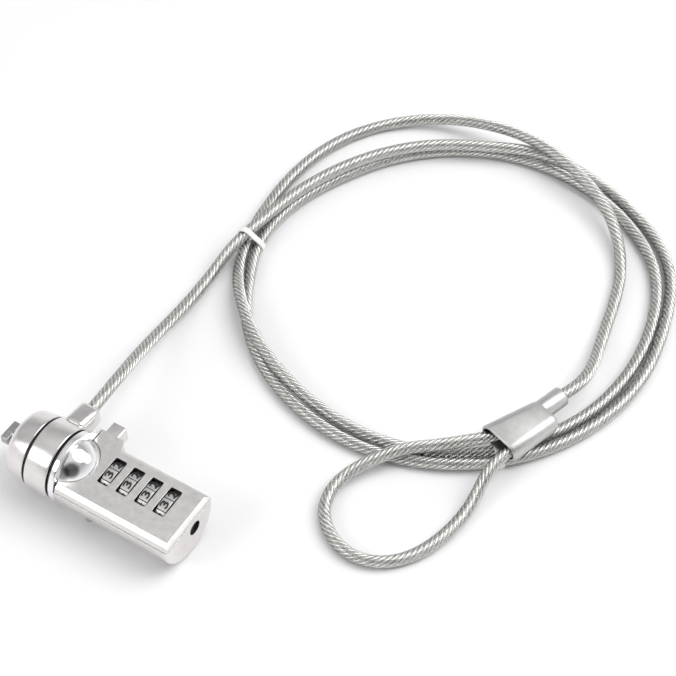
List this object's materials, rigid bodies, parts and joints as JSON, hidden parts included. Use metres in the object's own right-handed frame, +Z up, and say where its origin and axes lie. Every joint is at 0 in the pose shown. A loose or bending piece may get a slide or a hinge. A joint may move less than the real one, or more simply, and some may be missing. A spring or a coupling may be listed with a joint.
{
  "type": "laptop_cable_lock",
  "caption": "combination laptop cable lock with a T-bar head, swivelling cable boss, push button and numbered dials, on a coiled clear-coated steel cable with an anchor loop",
  "frame": {"origin": "On the surface under the middle of the rigid lock, halfway along its length from T-bar to dial end and halfway across its width from the round body's near side to the button's face, measured without the cable, sleeve and ties.", "axes": "+Z up; X along the lock, with the T-bar at -X and the reset hole at +X; +Y towards the side of the push button, the cable boss and the coil."},
  "size_m": [0.1419, 0.1949, 0.022],
  "materials": {
    "satin_zinc": "satin",
    "polished_zinc": "polished",
    "steel": "satin",
    "brass": "satin",
    "black_nylon": "matte",
    "coated_cable": "gloss",
    "aluminium": "satin",
    "white_tie": "satin"
  },
  "bodies": {
    "housing": {"housing": "satin_zinc", "top_cover": "satin_zinc", "cover_screw_1": "steel", "cover_screw_2": "steel", "cover_screw_3": "steel", "nose_cap": "satin_zinc", "nose_pin": "steel", "front_washer": "black_nylon", "rear_washer": "black_nylon", "guide_pin_upper": "steel", "guide_pin_lower": "steel", "front_bearing_plate": "steel", "rear_bearing_plate": "steel", "detent_comb": "steel", "button_spring": "steel", "spindle_spring": "steel"},
    "swivel": {"swivel_ring": "satin_zinc", "cable_ferrule": "aluminium", "security_cable": "coated_cable", "crimp_sleeve": "aluminium", "tie_1": "white_tie", "tie_2": "white_tie"},
    "button": {"push_button": "satin_zinc"},
    "t_bar": {"t_bar": "steel", "crank": "steel"},
    "spindle": {"spindle": "steel"},
    "dial_1": {"dial_1": "polished_zinc", "hub_1": "brass"},
    "dial_2": {"dial_2": "polished_zinc", "hub_2": "brass"},
    "dial_3": {"dial_3": "polished_zinc", "hub_3": "brass"},
    "dial_4": {"dial_4": "polished_zinc", "hub_4": "brass"},
    "reset_screw": {"reset_screw": "steel"}
  },
  "joints": [
    {"name": "swivel_turn", "type": "hinge", "parent": "housing", "child": "swivel", "pos_m": [-0.01315, -0.00295, 0.011], "axis": [1, 0, 0], "continuous": true},
    {"name": "button_push", "type": "slide", "parent": "housing", "child": "button", "axis": [0, -1, 0], "range_m": [0, 0.0031], "stiffness_N_per_m": 300, "deforming": ["button_spring"]},
    {"name": "t_bar_turn", "type": "hinge", "parent": "housing", "child": "t_bar", "pos_m": [-0.031, -0.00295, 0.011], "axis": [-1, 0, 0], "range_deg": [0, 90]},
    {"name": "spindle_slide", "type": "slide", "parent": "housing", "child": "spindle", "axis": [1, 0, 0], "range_m": [0, 0.001], "deforming": ["spindle_spring"]},
    {"name": "dial_1_turn", "type": "hinge", "parent": "housing", "child": "dial_1", "pos_m": [0.0041, -0.00075, 0.0091], "axis": [1, 0, 0], "continuous": true},
    {"name": "dial_2_turn", "type": "hinge", "parent": "housing", "child": "dial_2", "pos_m": [0.01023, -0.00075, 0.0091], "axis": [1, 0, 0], "continuous": true},
    {"name": "dial_3_turn", "type": "hinge", "parent": "housing", "child": "dial_3", "pos_m": [0.01636, -0.00075, 0.0091], "axis": [1, 0, 0], "continuous": true},
    {"name": "dial_4_turn", "type": "hinge", "parent": "housing", "child": "dial_4", "pos_m": [0.02249, -0.00075, 0.0091], "axis": [1, 0, 0], "continuous": true},
    {"name": "reset_turn", "type": "hinge", "parent": "housing", "child": "reset_screw", "pos_m": [0.0297, -0.00075, 0.0091], "axis": [1, 0, 0], "range_deg": [0, 90]}
  ],
  "couplings": [
    {"joint": "t_bar_turn", "follows": "button_push", "rad_per_m": 506.6},
    {"joint": "spindle_slide", "follows": "button_push", "ratio": 0.32}
  ]
}
